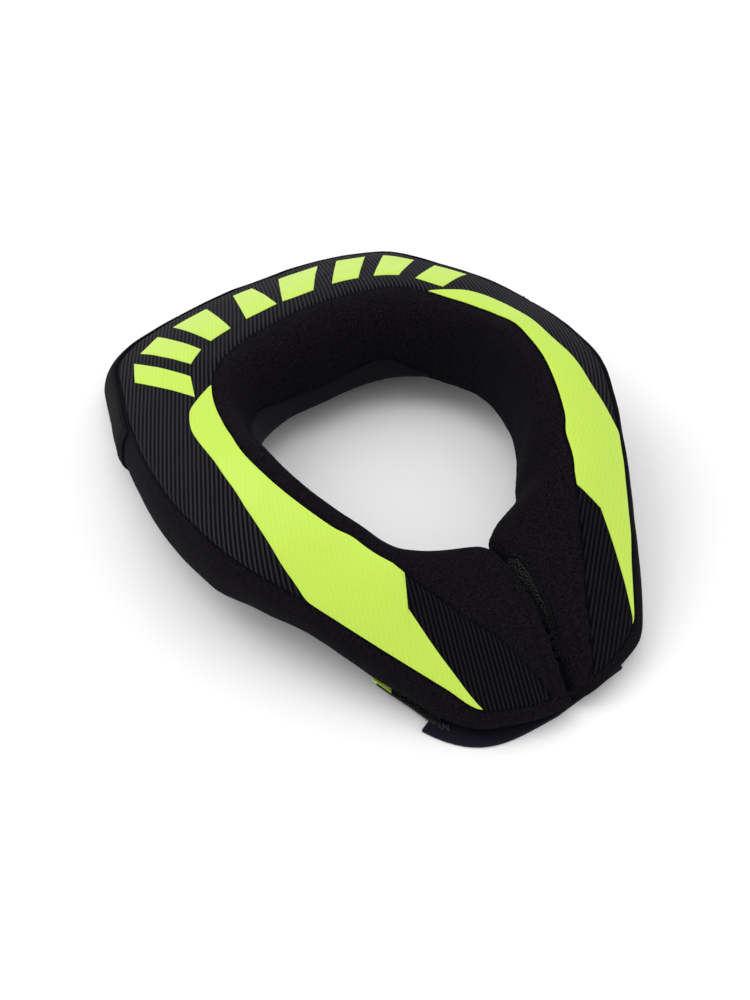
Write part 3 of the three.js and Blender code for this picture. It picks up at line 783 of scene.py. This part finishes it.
class BRACE_OT_padding(bpy.types.Operator):
    """Makes the foam collar in its jersey: lofted, remeshed, softened and seated for the panel"""

    bl_idname = "brace.padding"
    bl_label = "Padding"

    def shell(self):
        places = run_places(SLIT_PLACE, LOBE_STEP, SIDE_STEP)
        points, faces = [], []
        for at in places:
            cut = section(at)
            ring = [wall_profile(cut, i / WALL_CUTS) for i in range(WALL_CUTS)]
            ring += [top_profile(cut, i / TOP_CUTS) for i in range(TOP_CUTS)]
            ring += [outer_profile(cut, i / OUTER_CUTS) for i in range(OUTER_CUTS + 1)]
            foot = FOOT_SLOPE * (cut.wall - cut.low)
            ring += [((cut.depth + foot) / 2, cut.low), (foot, cut.low)]
            points += [cut.point(across, height) for across, height in ring]
            count = len(ring)
        for r in range(len(places) - 1):
            for i in range(count):
                a, b = r * count + i, r * count + (i + 1) % count
                faces.append((a, b, b + count, a + count))
        faces.append(tuple(range(count)))
        faces.append(tuple(range(len(points) - 1, len(points) - count - 1, -1)))
        return mesh_object(PADDING, points, faces)

    def labels(self):
        """Nearest place on the skins for any point: which skin, where on the run, which share."""
        skins = ((wall_profile, WALL_CUTS), (top_profile, TOP_CUTS), (outer_profile, OUTER_CUTS))
        marks = []
        for at in steps(-SLIT_PLACE, SLIT_PLACE, 1):
            for profile, cuts in skins:
                for share in (i / (2 * cuts) for i in range(2 * cuts + 1)):
                    marks.append((on_skin(profile, at, share), profile, at, share))
        tree = KDTree(len(marks))
        for i, mark in enumerate(marks):
            tree.insert(mark[0], i)
        tree.balance()
        return tree, marks

    def soften(self, obj, settings):
        """Remeshes and smooths the padding and gives its foam slow waves. The foot stays flat."""
        obj.data.remesh_voxel_size = settings.voxel
        obj.data.remesh_voxel_adaptivity = 0
        select_only(obj)
        bpy.ops.object.voxel_remesh()
        apply_modifier(obj, "SMOOTH", factor=0.5, iterations=settings.softness)
        normals = [vertex.normal.copy() for vertex in obj.data.vertices]
        for vertex, normal in zip(obj.data.vertices, normals):
            wave = sum(share * noise.noise(vertex.co * scale) for scale, share in WAVES)
            if vertex.co.z > WAVE_FLOOR:
                vertex.co += normal * wave * settings.unevenness
            vertex.co.z = max(vertex.co.z, 0.0)
        obj.data.update()
        return normals

    def sink_seats(self, obj, normals):
        """Sinks the seats and their grooves, and notes each point's distance to a seam."""
        tree, marks = self.labels()
        edges = []
        for vertex, normal in zip(obj.data.vertices, normals):
            _, index, _ = tree.find(vertex.co)
            _, profile, at, share = marks[index]
            inside, deep = seat_at(profile, at, share)
            if inside > 0:
                vertex.co -= normal * deep * MM * smoothstep(inside, 0, SEAT_EDGE)
            if inside > GROOVE_REACH:
                vertex.co -= normal * GROOVE_DEPTH * math.exp(-((inside / GROOVE_WIDTH) ** 2)) * MM
            edges.append(abs(inside))
        set_attribute(obj, "edge", edges)
        obj.data.update()

    def execute(self, context):
        obj = self.shell()
        normals = self.soften(obj, context.scene.brace_padding)
        made["surface"] = BVHTree.FromPolygons(
            [vertex.co.copy() for vertex in obj.data.vertices],
            [tuple(polygon.vertices) for polygon in obj.data.polygons],
        )
        self.sink_seats(obj, normals)
        smooth_shading(obj, PADDING_ANGLE)
        put_on(obj, "jersey", "collar_body")
        return {"FINISHED"}


class BRACE_OT_panel(bpy.types.Operator):
    """Lays the ribbed panel into the top of the padding"""

    bl_idname = "brace.panel"
    bl_label = "Ribbed panel"

    def spot(self, at, step):
        return on_skin(top_profile, at, mix(panel_seam(abs(at)), panel_rim(at), step)), at

    def execute(self, context):
        places = run_places(PANEL_END, *PANEL_STEPS)
        lay_cloth("ribbed_panel", "ribbed", "yoke_panel", places, self.spot, PANEL_LAY)
        return {"FINISHED"}


class BRACE_OT_prints(bpy.types.Operator):
    """Prints the two flashes and the slanted bars on the panel"""

    bl_idname = "brace.prints"
    bl_label = "Prints"

    def flash(self, side):
        side_step, front_step = FLASH_STEPS
        stops = steps(FLASH_START, FLASH_CORNER - CORNER_GAP, side_step)
        stops += steps(FLASH_CORNER, FLASH_END, front_step)

        def spot(stop, step):
            inner = panel_seam(stop) if stop < FLASH_CORNER else flash_front(stop)
            at = side * stop
            outer = min(flash_edge(stop), panel_rim(at) - FILM_INSET)
            return on_skin(top_profile, at, mix(min(inner, outer), outer, step)), at

        name = "left" if side < 0 else "right"
        obj, _, _ = laid_sheet(f"flash_film_{name}", stops, spot, FLASH_LAY)
        put_on(obj, "film", f"flash_{name}")

    def bar(self, number):
        middle = mix(*BAR_PLACES, (number - 1) / (BAR_COUNT - 1))

        def corner(turn, step):
            at = middle + turn * BAR_HALF_TURN + (step - 0.5) * BAR_SLANT
            return on_skin(top_profile, at, BAR_SHARES[step])

        corners = [[corner(turn, step) for step in (0, 1)] for turn in (-1, 1)]

        def spot(stop, step):
            near = corners[0][0].lerp(corners[0][1], step)
            far = corners[1][0].lerp(corners[1][1], step)
            return near.lerp(far, (stop + 1) / 2), middle

        obj, _, _ = laid_sheet(f"bar_film_{number}", steps(-1, 1, BAR_STEP), spot, BAR_LAY)
        put_on(obj, "film", f"print_bar_{number}")

    def execute(self, context):
        for side in (-1, 1):
            self.flash(side)
        for number in range(1, BAR_COUNT + 1):
            self.bar(number)
        return {"FINISHED"}


class BRACE_OT_lining(bpy.types.Operator):
    """Sews the smooth band along the foot of the rear inner wall"""

    bl_idname = "brace.lining"
    bl_label = "Inner lining"

    def spot(self, at, step):
        return on_skin(wall_profile, at, lining_height(at) * step), at

    def execute(self, context):
        places = steps(-LINING_END, LINING_END, LINING_STEP)
        lay_cloth("lining_band", "lining", "inner_lining", places, self.spot, LINING_LAY)
        return {"FINISHED"}


class BRACE_OT_wrap(bpy.types.Operator):
    """Wraps the woven band round the rear of the outer wall"""

    bl_idname = "brace.wrap"
    bl_label = "Rear wrap"

    def spot(self, at, step):
        return on_skin(outer_profile, at, mix(*WRAP_SHARES, step)), at

    def execute(self, context):
        places = steps(*WRAP_ENDS, WRAP_STEP)
        lay_cloth("woven_wrap", "woven", "rear_wrap", places, self.spot, WRAP_LAY)
        return {"FINISHED"}


# Tongue: shares across the top and places of its sewn edge, then its form in millimetres
TONGUE_RIM = [(0.08, 178.8), (0.13, 177.9), (0.22, 178.0), (0.34, 178.6), (0.48, 179.1), (0.6, 179.6)]
TONGUE_STEP = 0.02
TONGUE_CUTS = 12
TONGUE_SEWN = 0.4
TONGUE_TURN = Vector((-0.6, 0, 0.2))
TONGUE_FALL = Vector((0.8, 0, -8))
TONGUE_THICKNESS = 1.6
RIPPLE_HEIGHT = 0.35
RIPPLE_TURNS = 55
BINDING_LIFT = 0.9
BINDING_RADIUS = 0.8


class BRACE_OT_tongue(bpy.types.Operator):
    """Makes the hook tongue in the slit and the binding on its rim"""

    bl_idname = "brace.tongue"
    bl_label = "Hook tongue"

    def execute(self, context):
        rim_run = smooth_column(TONGUE_RIM, 1)
        right, left = section(SLIT_PLACE), section(-SLIT_PLACE)
        upper, lower, rim = [], [], []
        for share in steps(TONGUE_RIM[0][0], TONGUE_RIM[-1][0], TONGUE_STEP):
            sewn, normal = nearest(on_skin(top_profile, rim_run(share), share))
            sewn = sewn + normal * TONGUE_SEWN * MM
            rim.append(sewn + normal * BINDING_LIFT * MM)
            edge = right.point(*top_profile(right, share)) + TONGUE_TURN * MM
            far = left.point(*top_profile(left, share)) + TONGUE_FALL * MM
            for u in steps(0, 1, 1 / TONGUE_CUTS):
                point = sewn * (1 - u) ** 2 + edge * 2 * u * (1 - u) + far * u**2
                ripple = RIPPLE_HEIGHT * math.sin(share * RIPPLE_TURNS) * math.sin(math.pi * u)
                lower.append(point)
                upper.append(point + Vector((0, 0, TONGUE_THICKNESS + ripple)) * MM)
        obj = closed_sheet("tongue_tape", upper, lower, TONGUE_CUTS + 1)
        put_on(obj, "hook", "hook_tongue")
        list(grid_size(upper, TONGUE_CUTS + 1))
        put_on(round_binding("tongue_binding", rim, BINDING_RADIUS), "woven")
        return {"FINISHED"}


def round_binding(name, line, radius):
    """A round binding along a line of points: a curve with a round section, turned into a mesh."""
    curve = bpy.data.curves.new(name, "CURVE")
    curve.dimensions = "3D"
    curve.bevel_depth = radius * MM
    curve.bevel_resolution = 3
    curve.use_fill_caps = True
    spline = curve.splines.new("POLY")
    spline.points.add(len(line) - 1)
    for point, place in zip(spline.points, line):
        point.co = (*place, 1)
    obj = add_object(name, curve)
    select_only(obj)
    bpy.ops.object.convert(target="MESH")
    smooth_shading(obj, SHEET_ANGLE)
    return obj


# Threads: sides, and how far in and up their ends are rounded, as shares of the radius and length
THREAD_SIDES = 8
CAP_INSET = 0.4
CAP_HEIGHT = 0.1
CAP_NORMAL = 0.9


def pattern_thread():
    """A thread of radius 1 and length 1 along Z with rounded ends. Its copies are stretched."""
    bpy.ops.object.select_all(action="DESELECT")
    bpy.ops.mesh.primitive_cylinder_add(vertices=THREAD_SIDES, radius=1, depth=1)
    thread = bpy.context.active_object
    for polygon in thread.data.polygons:
        polygon.select = abs(polygon.normal.z) > CAP_NORMAL
    bpy.ops.object.mode_set(mode="EDIT")
    bpy.ops.mesh.select_mode(type="FACE")
    bpy.ops.mesh.inset(thickness=CAP_INSET, depth=CAP_HEIGHT, use_individual=True)
    bpy.ops.object.mode_set(mode="OBJECT")
    return thread


def threads_between(name, pairs, radius):
    """Short threads between pairs of points, joined into one piece."""
    pattern = pattern_thread()
    copies = []
    for a, b in pairs:
        copy = pattern.copy()
        copy.data = pattern.data.copy()
        turn = (b - a).to_track_quat("Z", "Y").to_matrix().to_4x4()
        size = Matrix.Diagonal((radius * MM, radius * MM, (b - a).length, 1))
        copy.data.transform(Matrix.Translation((a + b) / 2) @ turn @ size)
        bpy.context.scene.collection.objects.link(copy)
        copies.append(copy)
    bpy.data.objects.remove(pattern)
    bpy.ops.object.select_all(action="DESELECT")
    for copy in copies:
        copy.select_set(True)
    bpy.context.view_layer.objects.active = copies[0]
    bpy.ops.object.join()
    copies[0].name = name
    smooth_shading(copies[0], SHEET_ANGLE)
    return copies[0]


# Stitches in millimetres, then their rows: insets and steps in places and in shares of the wall
STITCH_LENGTH = 2.2
STITCH_GAP = 1.1
STITCH_RADIUS = 0.28
STITCH_LIFT = 1.95
END_ROW_INSET = 2
END_ROW_SHARES = (WRAP_SHARES[0] + 0.03, WRAP_SHARES[1] - 0.05)
END_ROW_STEP = 0.005
LOWER_ROW_INSET = 3
LOWER_ROW_SHARE = WRAP_SHARES[1] - 0.07
LOWER_ROW_STEP = 0.2


class BRACE_OT_stitching(bpy.types.Operator):
    """Sews the ends and the lower edge of the wrap with rows of stitches"""

    bl_idname = "brace.stitching"
    bl_label = "Stitching"

    def row(self, line):
        """Short threads along a line that lies on the wrap."""
        pieces = []
        walked, start = 0.0, line[0]
        for a, b in zip(line, line[1:]):
            walked += (b - a).length / MM
            if walked >= STITCH_LENGTH:
                pieces.append((start, b))
                walked = -STITCH_GAP
            if walked < 0:
                start = b
        return pieces

    def on_wrap(self, at, share):
        place, normal = nearest(on_skin(outer_profile, at, share))
        return place + normal * STITCH_LIFT * MM

    def execute(self, context):
        left, right = WRAP_ENDS
        lines = []
        for at in (left + END_ROW_INSET, right - END_ROW_INSET):
            lines.append([self.on_wrap(at, share) for share in steps(*END_ROW_SHARES, END_ROW_STEP)])
        places = steps(left + LOWER_ROW_INSET, right - LOWER_ROW_INSET, LOWER_ROW_STEP)
        lines.append([self.on_wrap(at, LOWER_ROW_SHARE) for at in places])
        pairs = [pair for line in lines for pair in self.row(line)]
        put_on(threads_between("wrap_stitches", pairs, STITCH_RADIUS), "woven", finish="thread")
        return {"FINISHED"}


# Closing strap: plan lengths in millimetres
STRAP_LEFT = 63
STRAP_RIGHT = 32
STRAP_TURN = -8
STRAP_SLANT = 0.12
STRAP_CORNER = 26
STRAP_WIDTH = 30
STRAP_LAP = 9
STRAP_FRONT = -FRONT_REACH - MIDDLE_Y - 1.2
STRAP_THICKNESS = 2.2
STRAP_BEVEL = 0.7
STRAP_CURVE = 5
STRAP_STEPS = (3, 4)

# Tapes under the lobes: places, width, reach past the edge, drop, least height, thickness and bevel
Band = namedtuple("Band", "low high width reach drop floor thickness bevel")
HOOK_BAND = Band(-157.5, -146.5, 14, 1.6, 1.9, STRAP_THICKNESS, 1.5, 0.4)
LEFT_BAND = Band(-148.6, -146.0, 6, 1.2, 1.3, 0.0, 1.2, 0.3)
RIGHT_BAND = Band(167, 172, 6, 0.5, 1.0, STRAP_THICKNESS, 1.2, 0.3)
BAND_STEP = 0.5
BEVEL_ANGLE = 50
BEVEL_SEGMENTS = 3


def soften_edges(obj, width):
    bevel = {"width": width * MM, "segments": BEVEL_SEGMENTS, "limit_method": "ANGLE"}
    apply_modifier(obj, "BEVEL", **bevel, angle_limit=math.radians(BEVEL_ANGLE))
    smooth_shading(obj, CUT_ANGLE)


def plate(name, outline, thickness, bevel):
    """A flat piece with soft edges that stands on the floor over an outline. Millimetres."""
    count = len(outline)
    points = [Vector((x, y, height)) * MM for height in (0, thickness) for x, y in outline]
    faces = [tuple(range(count)), tuple(range(2 * count - 1, count - 1, -1))]
    for i in range(count):
        j = (i + 1) % count
        faces.append((i, j, count + j, count + i))
    obj = mesh_object(name, points, faces)
    soften_edges(obj, bevel)
    return obj


def under_line(band, across):
    """A line along the underside of a lobe, a distance across from its edge. Millimetres."""
    line = []
    for at in steps(band.low, band.high, BAND_STEP):
        cut = section(at)
        point = cut.point(cut.depth - cut.tuck + across, 0) / MM
        line.append((point.x, point.y, max(band.floor, cut.low - band.drop)))
    return line


def tape(name, band):
    """A thin tape under a lobe: a grid shaped to its two long edges, thickened and softened."""
    outer, inner = under_line(band, band.reach), under_line(band, band.reach - band.width)
    bpy.ops.object.select_all(action="DESELECT")
    bpy.ops.mesh.primitive_grid_add(x_subdivisions=len(outer) - 1, y_subdivisions=1, size=1)
    obj = bpy.context.active_object
    obj.name = name
    for vertex, place in zip(obj.data.vertices, outer + inner):
        vertex.co = Vector(place) * MM
    obj.data.update()
    if obj.data.polygons[0].normal.z < 0:
        edit_all(bpy.ops.mesh.flip_normals)
    apply_modifier(obj, "SOLIDIFY", thickness=band.thickness * MM, offset=1)
    soften_edges(obj, band.bevel)
    return obj


class BRACE_OT_closure(bpy.types.Operator):
    """Lays the strap under the lobes, with the hook strip and the edges of the bright backing"""

    bl_idname = "brace.closure"
    bl_label = "Closure"

    def execute(self, context):
        left_step, right_step = STRAP_STEPS
        outline = []
        for x in steps(-STRAP_LEFT, STRAP_TURN, left_step):
            outline.append((x, STRAP_FRONT + STRAP_CORNER * (-x / STRAP_LEFT) ** STRAP_CURVE))
        for x in steps(STRAP_TURN, STRAP_RIGHT, right_step)[1:]:
            outline.append((x, STRAP_FRONT + STRAP_SLANT * (x - STRAP_TURN)))
        outline.append((STRAP_RIGHT, STRAP_FRONT + STRAP_WIDTH))
        outline.append((STRAP_LAP - STRAP_LEFT, STRAP_FRONT + STRAP_WIDTH))
        strap = plate("closing_strap", outline, STRAP_THICKNESS, STRAP_BEVEL)
        put_on(strap, "strap", "front_strap")
        put_on(tape("hook_strip_tape", HOOK_BAND), "hook", "hook_strip")
        put_on(tape("backing_edge_left", LEFT_BAND), "bright", "under_lining_left")
        put_on(tape("backing_edge_right", RIGHT_BAND), "bright", "under_lining_right")
        return {"FINISHED"}


# Frayed threads, then the ranges of their random draws
FRAY_COUNT = 14
FRAY_RADIUS = 0.16
FRAY_PLACES = (-158.6, -154.6)
FRAY_SEED = 7
FRAY_ROOT = 1.5
FRAY_OUT = (0.6, 1.8)
FRAY_ROOT_HEIGHT = (0.4, 1.6)
FRAY_REACH = (0.2, 1.4)
FRAY_TIP_HEIGHT = (0.2, 1.9)
FRAY_BEND = (-0.4, 0.5)


class BRACE_OT_fray(bpy.types.Operator):
    """Frays the cut end of the hook strip with short loose threads"""

    bl_idname = "brace.fray"
    bl_label = "Frayed end"

    def execute(self, context):
        chance = random.Random(FRAY_SEED)
        pairs = []
        for i in range(FRAY_COUNT):
            cut = section(mix(*FRAY_PLACES, i / (FRAY_COUNT - 1)))
            across = cut.depth - cut.tuck + chance.uniform(*FRAY_OUT)
            root = cut.point(across - FRAY_ROOT, STRAP_THICKNESS + chance.uniform(*FRAY_ROOT_HEIGHT))
            reach = chance.uniform(*FRAY_REACH)
            tip = cut.point(across + reach, STRAP_THICKNESS + chance.uniform(*FRAY_TIP_HEIGHT))
            bend = root.lerp(tip, 0.5) + Vector((0, 0, chance.uniform(*FRAY_BEND))) * MM
            pairs += [(root, bend), (bend, tip)]
        put_on(threads_between("frayed_threads", pairs, FRAY_RADIUS), "hook", finish="fray")
        return {"FINISHED"}


# Camera: where it looks, from where in degrees and metres, and its lens in millimetres
CAMERA_TARGET = Vector((-21.17, -23.42, 29.75)) * MM
CAMERA_AZIMUTH = -32.747
CAMERA_ELEVATION = 49
CAMERA_DISTANCE = 0.765
CAMERA_LENS = 58.9
SENSOR_WIDTH = 36

# Stage: floor and world, then the lights' name, place, size and power
FLOOR_SIZE = 12
FLOOR_GREYS = (0.90, 0.93)
WORLD_STRENGTH = 0.75
LIGHTS = [
    ("key_softbox", (-0.9, 0.9, 1.5), 1.3, 14),
    ("front_fill", (1.1, -1.3, 1.1), 1.4, 6),
    ("top_softbox", (0.1, 0.0, 1.9), 1.6, 8),
]


class BRACE_OT_stage(bpy.types.Operator):
    """Sets the pale floor, the soft lights and the camera"""

    bl_idname = "brace.stage"
    bl_label = "Stage"

    def light(self, name, place, size, power):
        data = bpy.data.lights.new(name, "AREA")
        data.size = size
        data.energy = power
        obj = add_object(name, data)
        obj.location = place
        obj.rotation_euler = (-Vector(place)).to_track_quat("-Z", "Y").to_euler()

    def execute(self, context):
        bpy.ops.object.select_all(action="DESELECT")
        bpy.ops.mesh.primitive_plane_add(size=FLOOR_SIZE, location=(0, 0, 0))
        floor = context.active_object
        floor.name = "floor"
        book = NodeBook("pale_floor", (1, 1, 1), 0.85)
        low, high = FLOOR_GREYS
        book.colour(book.ramp(book.noise(scale=3, detail=2), (0, low), (1, high)))
        floor.data.materials.append(book.material)
        for light in LIGHTS:
            self.light(*light)
        context.scene.view_settings.view_transform = "Standard"
        world = context.scene.world or bpy.data.worlds.new("studio")
        context.scene.world = world
        world.use_nodes = True
        background = world.node_tree.nodes["Background"]
        background.inputs["Color"].default_value = (1, 1, 1, 1)
        background.inputs["Strength"].default_value = WORLD_STRENGTH
        azimuth, elevation = math.radians(CAMERA_AZIMUTH), math.radians(CAMERA_ELEVATION)
        out = math.cos(elevation)
        back = Vector((math.sin(azimuth) * out, -math.cos(azimuth) * out, math.sin(elevation)))
        data = bpy.data.cameras.new("camera")
        data.lens = CAMERA_LENS
        data.sensor_width = SENSOR_WIDTH
        camera = add_object("camera", data)
        camera.location = CAMERA_TARGET + back * CAMERA_DISTANCE
        camera.rotation_mode = "QUATERNION"
        camera.rotation_quaternion = (-back).to_track_quat("-Z", "Y")
        context.scene.camera = camera
        return {"FINISHED"}


class BRACE_PT_panel(bpy.types.Panel):
    """Lists the brace's settings and its operators"""

    bl_idname = "BRACE_PT_panel"
    bl_label = "Neck brace"
    bl_space_type = "VIEW_3D"
    bl_region_type = "UI"
    bl_category = "Neck brace"

    def draw(self, context):
        for group in (context.scene.brace_padding, context.scene.brace_finishes):
            for name in group.__annotations__:
                self.layout.prop(group, name)
        for operator in OPERATORS:
            self.layout.operator(operator.bl_idname)


OPERATORS = (
    BRACE_OT_padding,
    BRACE_OT_panel,
    BRACE_OT_prints,
    BRACE_OT_lining,
    BRACE_OT_wrap,
    BRACE_OT_stitching,
    BRACE_OT_tongue,
    BRACE_OT_closure,
    BRACE_OT_fray,
    BRACE_OT_stage,
)
CLASSES = (BraceFinishes, BracePadding, *OPERATORS, BRACE_PT_panel)


def register():
    for cls in CLASSES:
        bpy.utils.register_class(cls)
    bpy.types.Scene.brace_finishes = bpy.props.PointerProperty(type=BraceFinishes)
    bpy.types.Scene.brace_padding = bpy.props.PointerProperty(type=BracePadding)


def unregister():
    del bpy.types.Scene.brace_finishes
    del bpy.types.Scene.brace_padding
    for cls in reversed(CLASSES):
        bpy.utils.unregister_class(cls)


def main():
    register()
    bpy.ops.brace.padding()
    bpy.ops.brace.panel()
    bpy.ops.brace.prints()
    bpy.ops.brace.lining()
    bpy.ops.brace.wrap()
    bpy.ops.brace.stitching()
    bpy.ops.brace.tongue()
    bpy.ops.brace.closure()
    bpy.ops.brace.fray()
    bpy.ops.brace.stage()


if __name__ == "__main__":
    main()
